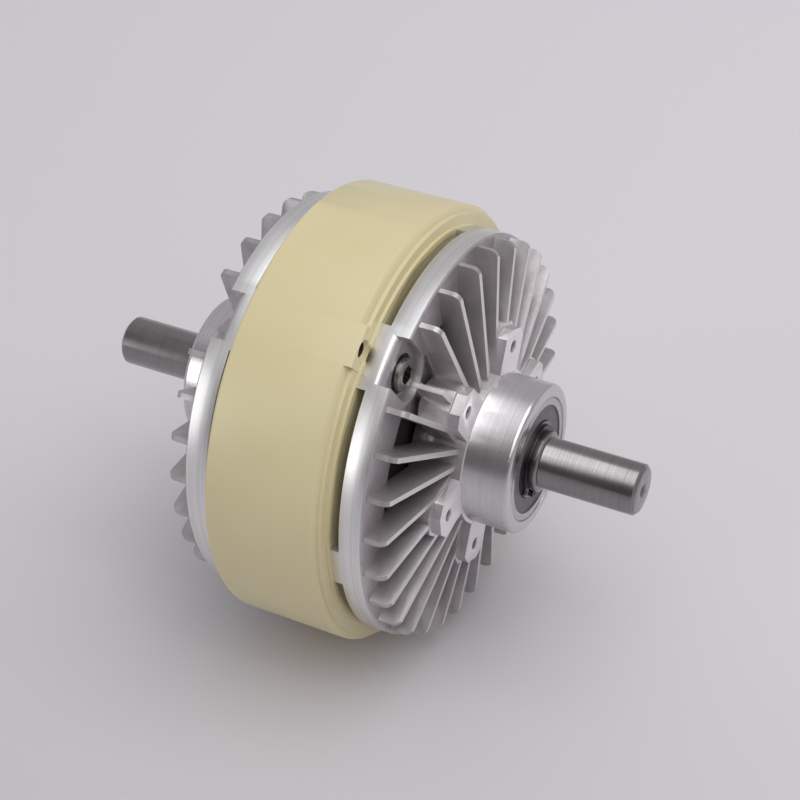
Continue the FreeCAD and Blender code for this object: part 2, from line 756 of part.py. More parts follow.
def ball(name):
    sphere = doc.addObject("Part::Sphere", name)
    sphere.setExpression("Radius", "dims.ball_radius")
    return sphere


def cage(label, placement):
    """The ring that keeps the balls apart, with one round pocket for each ball."""
    body = new_body(label)
    wall = box_outline("bearing_mid - cage_half_width", "bearing_mid + cage_half_width",
                       "ball_pitch - cage_wall", "ball_pitch + cage_wall")
    revolve(body, label + "_form", wall)
    pocket = circle(body, label + "_circle", "XY_Plane", "bearing_mid", "0", "ball_radius + cage_pocket_play",
                    spin="-90")
    cut = extrude(body, label + "_pocket", pocket, "race_outer", cut=True, backwards=True)
    around(body, cut, label + "_pockets", "ball_count")
    return keep(body, label, placement)


def shield(label, outside, placement):
    """A thin dished plate that closes one side of the bearing, held by the outer ring."""
    out_face = "bearing_out - shield_set_back" if outside else "bearing_in + shield_set_back"
    sign = "-" if outside else "+"
    ends = sorted([out_face, f"{out_face} {sign} shield_thickness"], key=number)
    return ring(label, ends[0], ends[1], "race_inner + shield_gap", "race_outer", placement)


def ball_bearing(label, placement):
    """The two rings, the caged balls and the two shields of one bearing."""
    bearing_ring(f"{label}_outer_ring", "bearing_radius", "race_outer", placement)
    bearing_ring(f"{label}_inner_ring", "bearing_bore", "race_inner", placement)
    group(f"{label}_balls", ball, "bearing_mid", "ball_pitch", 0, SIZES["ball_count"], placement)
    cage(f"{label}_cage", placement)
    shield(f"{label}_outer_shield", True, placement)
    shield(f"{label}_inner_shield", False, placement)


def shaft_circlip(side):
    """The external retaining ring outside the bearing, with its gap and two eared ends."""
    body = new_body(f"{side}_shaft_circlip")
    low = "bearing_out"
    high = "bearing_out + clip_thickness"
    flat = box_outline(low, high, "clip_groove + clip_play", "clip_radius")
    revolve(body, "clip_ring", flat, "clip_turn + clip_gap_angle / 2", "360 - clip_gap_angle")
    for sign, name in (("+", "first"), ("-", "second")):
        turn = f"clip_turn {sign} (clip_gap_angle / 2 + clip_ear_turn)"
        ear = circle(body, f"{name}_ear_circle", "YZ_Plane", "clip_radius - clip_ear_sink", "0",
                     "clip_ear_radius", low, turn)
        extrude(body, f"{name}_ear", ear, "clip_thickness")
        eye = circle(body, f"{name}_eye_circle", "YZ_Plane", "clip_radius", "0", "clip_ear_hole", high, turn)
        extrude(body, f"{name}_eye", eye, "clip_thickness", cut=True)
    return keep(body, f"{side}_shaft_circlip", SIDES[side])


def shaft_tail():
    """The corners that both shafts share, from the bearing's inboard face to the outer end."""
    return [
        ("bearing_in", "bearing_bore"),
        ("bearing_out", "bearing_bore"),
        ("bearing_out", "clip_groove"),
        ("clip_groove_end", "clip_groove"),
        ("clip_groove_end", "bearing_bore"),
        ("shaft_step - shaft_step_chamfer", "bearing_bore"),
        ("shaft_step", "bearing_bore - shaft_step_chamfer"),
        ("shaft_step", "shaft_radius"),
        ("shaft_end - shaft_chamfer", "shaft_radius"),
        ("shaft_end", "shaft_radius - shaft_chamfer"),
        ("shaft_end", "centre_mouth"),
        ("shaft_end - centre_mouth + centre_radius", "centre_radius"),
        ("shaft_end - centre_depth", "centre_radius"),
        ("shaft_end - centre_depth - centre_radius", "0"),
    ]


def round_ended(body, name, start, end, half, spin, radius):
    """A slot outline along X with round ends, on a plane at this radius and turn about the shaft axis."""
    sketch = plain_sketch(body, name, "XY_Plane", spin=spin)
    sketch.setExpression("AttachmentOffset.Base.y", cells(f"-({radius}) * sin(({spin}) * 1deg)"))
    sketch.setExpression("AttachmentOffset.Base.z", cells(f"({radius}) * cos(({spin}) * 1deg)"))
    reach = number(half)
    middles = [FreeCAD.Vector(number(place), 0, 0) for place in (end, start)]
    across = FreeCAD.Vector(0, reach, 0)
    ends = [Part.Circle(middle, Z_AXIS, reach) for middle in middles]
    quarter = math.pi / 2
    low_side = sketch.addGeometry(Part.LineSegment(middles[1] - across, middles[0] - across))
    far_end = sketch.addGeometry(Part.ArcOfCircle(ends[0], -quarter, quarter))
    high_side = sketch.addGeometry(Part.LineSegment(middles[0] + across, middles[1] + across))
    near_end = sketch.addGeometry(Part.ArcOfCircle(ends[1], quarter, 3 * quarter))
    edges = [low_side, far_end, high_side, near_end]
    for first, second in zip(edges, edges[1:] + edges[:1]):
        sketch.addConstraint(Sketcher.Constraint("Coincident", first, 2, second, 1))
    for arc, place in ((far_end, end), (near_end, start)):
        tie_point(sketch, arc, 3, place, "0")
        tie(sketch, "Radius", (arc,), half)
        for point in (1, 2):
            tie(sketch, "DistanceX", (-1, 1, arc, point), place)
    return sketch


def keyway(body, turn):
    """The closed key slot near the shaft's outer end."""
    half = "key_width / 2"
    slot = round_ended(body, "keyway_outline", f"key_end - key_length + {half}", f"key_end - {half}", half,
                       turn, "shaft_radius - key_depth")
    extrude(body, "keyway", slot, "key_depth + cut_past", cut=True, backwards=True)


def drive_shaft():
    """The left shaft, with the flange that carries the drum and the cup of the pilot bearing."""
    body = new_body("drive_shaft")
    revolve(body, "shaft_form", shaft_tail() + [
        ("cup_floor + pilot_relief_depth", "0"),
        ("cup_floor + pilot_relief_depth", "pilot_relief"),
        ("cup_floor", "pilot_relief"),
        ("cup_floor", "pilot_radius"),
        ("cup_end", "pilot_radius"),
        ("cup_end", "cup_radius"),
        ("plate_face - flange_thickness", "cup_radius"),
        ("plate_face - flange_thickness", "flange_radius"),
        ("plate_face", "flange_radius"),
        ("plate_face", "race_inner + collar_flare"),
        ("plate_face + collar_flare", "race_inner"),
        ("bearing_in", "race_inner"),
    ])
    passage = circle(body, "flange_hole_circle", "YZ_Plane", "flange_screw_place", "0",
                     "flange_screw_radius + screw_clearance", "plate_face", "cover_turn")
    hole = countersunk_hole(body, "flange_hole", passage, "flange_screw_radius + screw_clearance",
                            "flange_thickness + cut_past", "flange_screw_head + screw_clearance")
    around(body, hole, "flange_holes", "flange_screw_count")
    keyway(body, "key_turn - 90")
    return keep(body, "drive_shaft", LEFT)


def flange_screw(name):
    """A countersunk screw along X with its flat head face at the origin."""
    body = new_body(name)
    length = "plate_thickness"
    revolve(body, name + "_form", [
        (f"-{length}", "0"),
        ("0", "0"),
        ("0", "flange_screw_head"),
        ("-flange_screw_head + flange_screw_radius", "flange_screw_radius"),
        (f"-{length}", "flange_screw_radius"),
    ])
    return body


def drum_plate(label, inner_corners, placement):
    """A side plate of the drum, screwed to its ring."""
    body = new_body(label)
    revolve(body, label + "_form", inner_corners + [
        ("drum_half_width", "plate_radius"),
        ("plate_face - plate_edge", "plate_radius"),
        ("plate_face", "plate_radius - plate_edge"),
    ])
    seat = circle(body, "screw_seat_circle", "YZ_Plane", "plate_screw_place", "0",
                  "screw_head_radius + screw_clearance", "plate_face", "cover_turn")
    sunk = extrude(body, "screw_seat", seat, "screw_head_height", cut=True)
    around(body, sunk, "screw_seats", "plate_screw_count")
    hole = circle(body, "screw_circle", "YZ_Plane", "plate_screw_place", "0",
                  "screw_radius + screw_clearance", "plate_face", "cover_turn")
    passage = extrude(body, "screw_hole", hole, "plate_thickness + cut_past", cut=True)
    around(body, passage, "screw_holes", "plate_screw_count")
    return body


def drum_screw(name):
    length = "(plate_thickness - screw_head_height + screw_grip)"
    return screw(name, "screw_radius", length, "screw_head_radius", "screw_head_height",
                 "screw_socket", "screw_socket_depth")


def drum_ring(label, placement):
    """A steel ring of the drum, with tapped holes for its plate's screws."""
    body = new_body(label)
    wall = box_outline("band_half_width", "drum_half_width", "drum_bore", "drum_radius")
    revolve(body, label + "_form", wall)
    hole = circle(body, "thread_circle", "YZ_Plane", "plate_screw_place", "0",
                  "screw_radius + thread_clearance", "drum_half_width", "cover_turn")
    thread = extrude(body, "thread", hole, "screw_grip + thread_run_out", cut=True)
    around(body, thread, "threads", "plate_screw_count")
    return keep(body, label, placement)


def drum():
    """The drum: two steel rings joined by a non-magnetic band, and its two side plates."""
    for side, placement in SIDES.items():
        drum_ring(f"drum_{side}_ring", placement)
        group(f"drum_{side}_screws", drum_screw, "plate_face - screw_head_height", "plate_screw_place",
              SIZES["cover_turn"], SIZES["plate_screw_count"], placement)
    ring("drum_band", "-band_half_width", "band_half_width", "drum_bore", "drum_radius")
    left = drum_plate("drum_left_plate", [
        ("plate_face", "flange_radius"),
        ("plate_face - flange_thickness", "flange_radius"),
        ("plate_face - flange_thickness", "cup_radius"),
        ("drum_half_width", "cup_radius"),
    ], LEFT)
    hole = circle(left, "flange_thread_circle", "YZ_Plane", "flange_screw_place", "0",
                  "flange_screw_radius + thread_clearance", "plate_face", "cover_turn")
    thread = extrude(left, "flange_thread", hole, "plate_thickness + cut_past", cut=True)
    around(left, thread, "flange_threads", "flange_screw_count")
    keep(left, "drum_left_plate", LEFT)
    group("shaft_flange_screws", flange_screw, "plate_face", "flange_screw_place",
          SIZES["cover_turn"], SIZES["flange_screw_count"], LEFT)
    right = drum_plate("drum_right_plate", [
        ("plate_face", "bearing_radius"),
        ("plate_bearing_in", "bearing_radius"),
        ("plate_bearing_in", "plate_boss_radius"),
        ("drum_half_width", "plate_boss_radius"),
    ], RIGHT)
    keep(right, "drum_right_plate", RIGHT)
    ring("magnetic_powder", "-rotor_half_width", "rotor_half_width",
         "drum_bore - powder_thickness", "drum_bore")


def pilot_ring(label, inner, outer):
    return ring(label, "-pilot_in", "-pilot_out", inner, outer)


def roller(name):
    """One roller of the pilot bearing, with its axis along the shaft."""
    body = new_body(name)
    half = "(pilot_width / 2 - roller_end_gap)"
    radius = "((pilot_radius - pilot_bore) / 2 - pilot_wall - pilot_play)"
    revolve(body, name + "_form", [
        (f"-{half}", "0"),
        (half, "0"),
        (half, radius),
        (f"-{half}", radius),
    ])
    return body


def pilot_bearing():
    """The roller bearing that carries the rotor shaft's inner end in the drive shaft's cup."""
    pilot_ring("pilot_bearing_outer_ring", "pilot_radius - pilot_wall", "pilot_radius")
    pilot_ring("pilot_bearing_inner_ring", "pilot_bore", "pilot_bore + pilot_wall")
    pitch = "(pilot_radius + pilot_bore) / 2"
    group("pilot_bearing_rollers", roller, "-pilot_mid", pitch, 0, SIZES["roller_count"])


def driven_shaft():
    """The right shaft, which carries the rotor."""
    body = new_body("driven_shaft")
    revolve(body, "shaft_form", [
        ("-pilot_in - pilot_nose", "0"),
        *reversed(shaft_tail()[1:]),
        ("plate_bearing_in", "bearing_bore"),
        ("plate_bearing_in", "rotor_collar"),
        ("rotor_hub_end", "rotor_collar"),
        ("rotor_hub_end", "rotor_seat"),
        ("-rotor_hub_start", "rotor_seat"),
        ("-rotor_hub_start", "rotor_clip_groove"),
        ("-rotor_clip_end - clip_play", "rotor_clip_groove"),
        ("-rotor_clip_end - clip_play", "rotor_seat"),
        ("-rotor_seat_end", "rotor_seat"),
        ("-rotor_seat_end", "pilot_bore + pilot_shoulder"),
        ("-pilot_out", "pilot_bore + pilot_shoulder"),
        ("-pilot_out", "pilot_bore"),
        ("-pilot_in - pilot_nose + shaft_step_chamfer", "pilot_bore"),
        ("-pilot_in - pilot_nose", "pilot_bore - shaft_step_chamfer"),
    ])
    seat_slot(body)
    keyway(body, "key_turn - 90")
    return keep(body, "driven_shaft")


def seat_slot(body):
    """The slot for the rotor's key, open at the top of the seat."""
    half = "rotor_key_width / 2"
    corners = box_outline("-rotor_key_half_length", "rotor_key_half_length", f"-{half}", half)
    slot = outline(body, "rotor_key_outline", "XY_Plane", corners, lift="rotor_key_floor")
    extrude(body, "rotor_key_slot", slot, "rotor_seat", cut=True, backwards=True)


def rotor():
    """The cylinder that the powder grips, with a thin web between its rim and its hub."""
    body = new_body("rotor")
    revolve(body, "rotor_form", [
        ("-rotor_hub_start", "rotor_seat"),
        ("rotor_hub_end", "rotor_seat"),
        ("rotor_hub_end", "rotor_hub_radius"),
        ("rotor_web_half", "rotor_hub_radius"),
        ("rotor_web_half", "rotor_rim_inner"),
        ("rotor_half_width", "rotor_rim_inner"),
        ("rotor_half_width", "rotor_radius"),
        ("-rotor_half_width", "rotor_radius"),
        ("-rotor_half_width", "rotor_rim_inner"),
        ("-rotor_web_half", "rotor_rim_inner"),
        ("-rotor_web_half", "rotor_hub_radius"),
        ("-rotor_hub_start", "rotor_hub_radius"),
    ])
    half = "rotor_key_width / 2"
    slot_top = "rotor_key_floor + rotor_key_height + rotor_key_play"
    slot = outline(body, "hub_slot_outline", "YZ_Plane", [
        (f"-{half}", "0"),
        (half, "0"),
        (half, slot_top),
        (f"-{half}", slot_top),
    ], lift="-rotor_half_width")
    extrude(body, "hub_slot", slot, "2 * rotor_half_width", cut=True, backwards=True)
    return keep(body, "rotor")


def rotor_key():
    key = doc.addObject("Part::Box", "rotor_key")
    key.setExpression("Length", cells("2 * rotor_key_half_length"))
    key.setExpression("Width", cells("rotor_key_width"))
    key.setExpression("Height", cells("rotor_key_height"))
    corner = FreeCAD.Vector(number("-rotor_key_half_length"), number("-rotor_key_width / 2"),
                            number("rotor_key_floor"))
    return keep(key, "rotor_key", FreeCAD.Placement(corner, FreeCAD.Rotation()))


yoke_body()
yoke_cheek()
lead_grommet()
coil_parts()
for side, placement in SIDES.items():
    cover(side)
    first = number("bolt_line")
    bolts = SIZES["bolt_count"]
    group(f"{side}_cover_bolts", cover_bolt, "bolt_seat", "bolt_place", first, bolts, placement)
    ball_bearing(f"{side}_bearing", placement)
    shaft_circlip(side)
drive_shaft()
drum()
pilot_bearing()
plate_shift = FreeCAD.Vector(number("plate_face - bearing_out"), 0, 0)
ball_bearing("plate_bearing", FreeCAD.Placement(plate_shift, FreeCAD.Rotation()))
ring("bearing_spacer_sleeve", "plate_face", "bearing_in", "bearing_bore", "race_inner")
driven_shaft()
rotor()
rotor_key()
ring("rotor_circlip", "-rotor_clip_end", "-rotor_hub_start",
     "rotor_clip_groove + clip_play", "rotor_clip_radius")

doc.recompute()
faults = [item.Name for item in doc.Objects if "Invalid" in item.State or "Error" in item.State]
faults += [item.Label for item in sub_parts if item.Shape.isNull() or not item.Shape.isValid()]
if faults:
    raise RuntimeError("not built: " + ", ".join(faults))

os.makedirs("parts", exist_ok=True)
for item in sub_parts:
    item.Shape.exportStep(f"parts/{item.Label}.step")
    print(item.Label, len(item.Shape.Solids), round(item.Shape.Volume), "mm3")
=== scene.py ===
import json
import math

import bpy
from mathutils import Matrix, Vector

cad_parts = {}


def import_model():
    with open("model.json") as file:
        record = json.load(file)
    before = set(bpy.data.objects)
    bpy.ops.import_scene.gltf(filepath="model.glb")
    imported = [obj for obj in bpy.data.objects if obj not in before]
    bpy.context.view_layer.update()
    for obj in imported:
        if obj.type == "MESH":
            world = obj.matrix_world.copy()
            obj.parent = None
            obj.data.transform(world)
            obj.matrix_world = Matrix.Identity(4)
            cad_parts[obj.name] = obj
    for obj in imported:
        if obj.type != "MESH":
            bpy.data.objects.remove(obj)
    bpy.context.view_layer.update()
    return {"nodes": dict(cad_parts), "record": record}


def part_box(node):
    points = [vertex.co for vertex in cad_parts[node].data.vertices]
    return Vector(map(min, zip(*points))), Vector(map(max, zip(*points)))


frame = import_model()
NODES = frame["nodes"]
MM = 0.001

# Camera: the photograph's viewing direction and distance
CAMERA_AT = Vector((0.34915, -0.65933, 0.53501))
CAMERA_BACK = Vector((0.36929, -0.72759, 0.57815))
CAMERA_LENS = 83.87
CAMERA_SENSOR = 36
CAMERA_SIGHT = 50

# Places on the part, in metres
YOKE_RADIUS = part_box("yoke_body")[1].z
FLOOR = -YOKE_RADIUS
RIM_RADIUS = 0.1002
REGISTER_RADIUS = 0.0895
HUB_RADIUS = 0.037
PAD_FACE = 0.065
FIN_CREST = 0.050
YOKE_HOLE = next(mount for mount in frame["record"]["mounts"] if mount["name"] == "yoke_tapped_hole")
YOKE_HOLE_AT = Vector(YOKE_HOLE["pos_m"])
YOKE_HOLE_RADIUS = YOKE_HOLE["dims"]["r_mm"] * MM

# How near a face's middle lies to the place that it belongs to
RIM_REACH = 0.6 * MM
EDGE_REACH = 0.5 * MM
FACE_REACH = 0.2 * MM
FACING = 0.9

# Edges and shading
COVER_EDGE = 0.5 * MM
YOKE_AND_SHAFT_EDGE = 0.3 * MM
EDGE_STEPS = 2
ROUNDED_ANGLE = math.radians(30)
SHARP_ANGLE = math.radians(32)
FLAT_ANGLE = math.radians(0.5)
WELD_REACH = 0.002 * MM
TURNED_LEAN = math.sin(math.radians(4))

# Paper under the object: its tones from near to far; the darker tones near the camera are painted shade
PAPER_NEAR = -0.45
PAPER_FAR = 1.2
PAPER_REACH = 25.0
PAPER_ROUGHNESS = 0.6
PAPER_TONES_AND_SHADE = [
    (0.0, (0.47, 0.455, 0.48)),
    (0.33, (0.71, 0.69, 0.72)),
    (1.0, (0.86, 0.84, 0.89)),
]

# Studio: the sky's tones by height, and the walls' by how far round they are
SKY = [
    (0.3, (0.13, 0.125, 0.13)),
    (0.62, (0.2, 0.195, 0.2)),
    (0.86, (0.58, 0.575, 0.59)),
    (0.97, (0.98, 0.98, 1)),
]
WALL_TONE = (0.46, 0.455, 0.465)
BACK_WALL = [(0.0, (0, 0, 0)), (0.3, WALL_TONE)]
SIDE_WALLS = [(0.55, (0, 0, 0)), (0.8, WALL_TONE)]
LAMPS = {
    "overhead": {"place": (0.9, 0.0, 2.2), "size": (2.0, 2.0), "power": 19},
    "front": {"place": (0.65, -0.95, 1.4), "size": (1.2, 1.2), "power": 5.8},
    "window": {"place": (-1.0, -1.43, 0.44), "size": (0.65, 1.0), "power": 4.2},
}


# Shader building

def add(tree, kind, inputs=None, **settings):
    """Adds a node with its settings, and sets or links its inputs."""
    item = tree.nodes.new(kind)
    for name, value in settings.items():
        setattr(item, name, value)
    for key, value in (inputs or {}).items():
        if isinstance(value, bpy.types.NodeSocket):
            tree.links.new(value, item.inputs[key])
        else:
            item.inputs[key].default_value = value
    return item


def number(tree, operation, *values):
    """One step of arithmetic."""
    return add(tree, "ShaderNodeMath", dict(enumerate(values)), operation=operation).outputs[0]


def dot(tree, one, other):
    """How far one direction goes along another."""
    item = add(tree, "ShaderNodeVectorMath", {0: one, 1: other}, operation="DOT_PRODUCT")
    return item.outputs["Value"]


def lighter(tree, one, other):
    """The lighter of two colours."""
    inputs = {"Factor": 1.0, "A": one, "B": other}
    item = add(tree, "ShaderNodeMix", inputs, data_type="RGBA", blend_type="LIGHTEN")
    return item.outputs["Result"]


def material(name, colour, roughness, metallic=0.0, **sockets):
    """A material with one Principled shader."""
    made = bpy.data.materials.new(name)
    made.use_nodes = True
    shader = made.node_tree.nodes["Principled BSDF"]
    shader.inputs["Base Color"].default_value = (*colour, 1)
    shader.inputs["Roughness"].default_value = roughness
    shader.inputs["Metallic"].default_value = metallic
    for key, value in sockets.items():
        shader.inputs[key.replace("_", " ")].default_value = value
    return made, made.node_tree, shader


def object_place(tree):
    return add(tree, "ShaderNodeTexCoord").outputs["Object"]


def ramp(tree, factor, stops):
    """A colour ramp with (position, colour) stops."""
    item = add(tree, "ShaderNodeValToRGB", {"Fac": factor})
    elements = item.color_ramp.elements
    while len(elements) < len(stops):
        elements.new(0.5)
    for element, (position, colour) in zip(elements, stops):
        element.position = position
        element.color = (*colour, 1)
    return item.outputs["Color"]


def span(tree, factor, low, high):
    """Maps a noise value to the range from low to high."""
    inputs = {"Value": factor, "From Min": 0.3, "From Max": 0.7, "To Min": low, "To Max": high}
    return add(tree, "ShaderNodeMapRange", inputs).outputs["Result"]


def noise(tree, place, scale, detail):
    inputs = {"Vector": place, "Scale": scale, "Detail": detail, "Roughness": 0.6}
    return add(tree, "ShaderNodeTexNoise", inputs).outputs["Fac"]


def bump(tree, shader, height, strength, distance):
    """Bends the shading normal by a height."""
    inputs = {"Height": height, "Strength": strength, "Distance": distance}
    item = add(tree, "ShaderNodeBump", inputs)
    tree.links.new(item.outputs["Normal"], shader.inputs["Normal"])


def turning_place(tree):
    """A place that changes only across the lines that a lathe tool leaves about the X axis."""
    split = add(tree, "ShaderNodeSeparateXYZ", {"Vector": object_place(tree)})
    flat = add(tree, "ShaderNodeCombineXYZ", {"Y": split.outputs["Y"], "Z": split.outputs["Z"]})
    radius = add(tree, "ShaderNodeVectorMath", {0: flat.outputs["Vector"]}, operation="LENGTH")
    lines = {"X": split.outputs["X"], "Y": radius.outputs["Value"]}
    return add(tree, "ShaderNodeCombineXYZ", lines).outputs["Vector"]


# Materials

def yoke_paint():
    """Cream enamel, sprayed, with a slight orange peel."""
    made, tree, shader = material("yoke_paint", (0.72, 0.63, 0.37), roughness=0.38,
                                  Coat_Weight=0.25, Coat_Roughness=0.2)
    place = object_place(tree)
    clouds = noise(tree, place, scale=14, detail=2)
    peel = noise(tree, place, scale=700, detail=2)
    colour = ramp(tree, clouds, [(0.3, (0.70, 0.61, 0.355)), (0.7, (0.74, 0.66, 0.395))])
    tree.links.new(colour, shader.inputs["Base Color"])
    bump(tree, shader, peel, strength=0.12, distance=0.2 * MM)
    return made


def cast_aluminium():
    """Sand-blasted die casting with a fine grain."""
    made, tree, shader = material("cast_aluminium", (0.53, 0.50, 0.51), roughness=0.42, metallic=0.8)
    place = object_place(tree)
    grain = noise(tree, place, scale=900, detail=4)
    clouds = noise(tree, place, scale=60, detail=4)
    colour = ramp(tree, clouds, [(0.3, (0.43, 0.40, 0.41)), (0.7, (0.57, 0.54, 0.55))])
    tree.links.new(colour, shader.inputs["Base Color"])
    tree.links.new(span(tree, grain, low=0.34, high=0.50), shader.inputs["Roughness"])
    bump(tree, shader, grain, strength=0.35, distance=0.15 * MM)
    return made


def turned(name, colour, roughness, lines, depth, tone=0.06):
    """Metal turned on a lathe, with fine rings about the X axis."""
    made, tree, shader = material(name, colour, roughness, metallic=1.0)
    rings = noise(tree, turning_place(tree), lines, detail=2)
    broad = noise(tree, object_place(tree), scale=30, detail=2)
    dark = tuple(max(channel - tone, 0) for channel in colour)
    light = tuple(min(channel + tone, 1) for channel in colour)
    tree.links.new(ramp(tree, rings, [(0.35, dark), (0.65, light)]), shader.inputs["Base Color"])
    tree.links.new(span(tree, broad, roughness - 0.05, roughness + 0.07), shader.inputs["Roughness"])
    bump(tree, shader, rings, depth, distance=0.05 * MM)
    return made


def milled_aluminium():
    """The flange pads' faces, cut flat."""
    made, tree, shader = material("milled_aluminium", (0.90, 0.86, 0.88), roughness=0.38, metallic=0.6)
    marks = noise(tree, object_place(tree), scale=300, detail=2)
    tree.links.new(span(tree, marks, low=0.28, high=0.42), shader.inputs["Roughness"])
    bump(tree, shader, marks, strength=0.08, distance=0.1 * MM)
    return made


def plain_metal(name, colour, roughness):
    """Metal with a fine even grain."""
    made, tree, shader = material(name, colour, roughness, metallic=1.0)
    grain = noise(tree, object_place(tree), scale=400, detail=3)
    tree.links.new(span(tree, grain, roughness - 0.06, roughness + 0.08), shader.inputs["Roughness"])
    bump(tree, shader, grain, strength=0.1, distance=0.05 * MM)
    return made


def dark_coat(name, colour, roughness):
    """Rubber, oxide or other dark matte finishes."""
    made, tree, shader = material(name, colour, roughness)
    grain = noise(tree, object_place(tree), scale=500, detail=3)
    dark = tuple(channel * 0.8 for channel in colour)
    light = tuple(channel * 1.25 for channel in colour)
    tree.links.new(ramp(tree, grain, [(0.3, dark), (0.7, light)]), shader.inputs["Base Color"])
    bump(tree, shader, grain, strength=0.15, distance=0.1 * MM)
    return made


CAST = cast_aluminium()
# The fins' outward crest faces: a lighter copy of the cast metal, as a painted highlight
CREST_HIGHLIGHT = plain_metal("painted_highlight_crests", (0.80, 0.77, 0.78), roughness=0.36)
TURNED = turned("turned_aluminium", (0.66, 0.64, 0.65), roughness=0.23, lines=2600, depth=0.25)
RIM = turned("turned_rim", (0.80, 0.79, 0.79), roughness=0.34, lines=2200, depth=0.3)
MILLED = milled_aluminium()
PAINT = yoke_paint()
# Near black for the parts inside the covers, the register and the tapped hole: painted shade
DARK_INSIDE_SHADE = dark_coat("dark_inside_painted_shade", (0.035, 0.028, 0.031), roughness=0.5)
# The bearings' inner rings: a darker copy of the bearing steel, as painted shade in the bore
SHADED_INNER_RING = turned("bearing_inner_painted_shade", (0.2, 0.19, 0.2), roughness=0.28, lines=4000, depth=0.1,
                    tone=0.03)
SLOTS = {
    "yoke_paint": PAINT,
    "cast_aluminium": CAST,
    "ground_steel": turned("ground_steel", (0.28, 0.27, 0.27), roughness=0.19, lines=5000, depth=0.12,
                           tone=0.04),
    "bearing_steel": turned("bearing_steel", (0.5, 0.49, 0.5), roughness=0.2, lines=4000, depth=0.1,
                            tone=0.03),
    "dark_shield": dark_coat("dark_shield", (0.15, 0.125, 0.14), roughness=0.45),
    "spring_steel": plain_metal("spring_steel", (0.07, 0.065, 0.07), roughness=0.32),
    "plated_steel": plain_metal("plated_steel", (0.36, 0.36, 0.34), roughness=0.24),
    # the steel and aluminium parts inside the covers are near black as painted shade
    "carbon_steel": DARK_INSIDE_SHADE,
    "stainless_steel": turned("stainless_steel", (0.5, 0.49, 0.5), roughness=0.3, lines=2500, depth=0.15),
    "plate_aluminium": DARK_INSIDE_SHADE,
    "copper_wire": plain_metal("copper_wire", (0.45, 0.16, 0.07), roughness=0.4),
    "iron_powder": dark_coat("iron_powder", (0.03, 0.03, 0.032), roughness=0.8),
    "cage_brass": plain_metal("cage_brass", (0.6, 0.42, 0.16), roughness=0.35),
    "rubber": dark_coat("rubber", (0.012, 0.012, 0.012), roughness=0.6),
}


# The CAD nodes' finishes

def soften(piece, width):
    """Rounds the sharp edges of a node for the render, and leaves its own mesh as it is."""
    weld = piece.modifiers.new("weld", "WELD")
    weld.merge_threshold = WELD_REACH
    planar = piece.modifiers.new("planar", "DECIMATE")
    planar.decimate_type = "DISSOLVE"
    planar.angle_limit = FLAT_ANGLE
    planar.delimit = {"MATERIAL"}
    round_over = piece.modifiers.new("round_over", "BEVEL")
    round_over.width = width
    round_over.segments = EDGE_STEPS
    round_over.limit_method = "ANGLE"
    round_over.angle_limit = ROUNDED_ANGLE
    round_over.use_clamp_overlap = True
    round_over.harden_normals = False


def shade(piece):
    """Smooth surfaces with sharp edges."""
    mesh = piece.data
    mesh.shade_smooth()
    mesh.set_sharp_from_angle(angle=SHARP_ANGLE)


def around_axis(tree):
    """The direction round the X axis at each place."""
    place = add(tree, "GeometryNodeInputPosition").outputs[0]
    split = add(tree, "ShaderNodeSeparateXYZ", {0: place})
    back = number(tree, "MULTIPLY", split.outputs["Z"], -1.0)
    around = add(tree, "ShaderNodeCombineXYZ", {"Y": back, "Z": split.outputs["Y"]}).outputs[0]
    return add(tree, "ShaderNodeVectorMath", {0: around}, operation="NORMALIZE").outputs[0]


def turned_normal(tree):
    """The normal of a turned surface straight out from the X axis, and any other one as it is."""
    normal = add(tree, "GeometryNodeInputNormal")
    smooth = normal.outputs["Normal"]
    around = around_axis(tree)
    lean = dot(tree, smooth, around)
    off = add(tree, "ShaderNodeVectorMath", {0: around, "Scale": lean}, operation="SCALE").outputs[0]
    straight = add(tree, "ShaderNodeVectorMath", {0: smooth, 1: off}, operation="SUBTRACT").outputs[0]
    turn = number(tree, "ABSOLUTE", dot(tree, normal.outputs["True Normal"], around))
    small = number(tree, "LESS_THAN", turn, TURNED_LEAN)
    choice = {"Switch": small, "False": smooth, "True": straight}
    return add(tree, "GeometryNodeSwitch", choice, input_type="VECTOR").outputs[0]


def turned_shading():
    """Modifier nodes that shade turned surfaces as true surfaces of revolution."""
    tree = bpy.data.node_groups.new("turned_shading", "GeometryNodeTree")
    for way in ("INPUT", "OUTPUT"):
        tree.interface.new_socket("Geometry", in_out=way, socket_type="NodeSocketGeometry")
    start = add(tree, "NodeGroupInput").outputs[0]
    inputs = {"Mesh": start, "Custom Normal": turned_normal(tree)}
    done = add(tree, "GeometryNodeSetMeshNormal", inputs, mode="FREE", domain="CORNER")
    add(tree, "NodeGroupOutput", {0: done.outputs[0]})
    return tree


def finish_faces(piece, choose, finishes):
    """Gives each face of a node its own one of the finishes."""
    mesh = piece.data
    mesh.materials.clear()
    for finish in finishes:
        mesh.materials.append(finish)
    for face in mesh.polygons:
        face.material_index = finishes.index(choose(face))


def distance_from_axis(place):
    return math.hypot(place.y, place.z)


def cover_face(face):
    """Cast, apart from the turned rim and hub, the milled pad faces and the fins' crests, which are made
    lighter as a painted highlight.
    """
    place, direction = face.center, face.normal
    radius = distance_from_axis(place)
    outward = (direction.y * place.y + direction.z * place.z) / radius
    if radius > RIM_RADIUS - RIM_REACH and outward > FACING:
        return RIM
    if abs(place.x) > PAD_FACE - FACE_REACH:
        return TURNED if radius < HUB_RADIUS + EDGE_REACH else MILLED
    # crest faces turned along X get the painted highlight
    if abs(place.x) > FIN_CREST and abs(direction.x) > FACING:
        return CREST_HIGHLIGHT
    return CAST


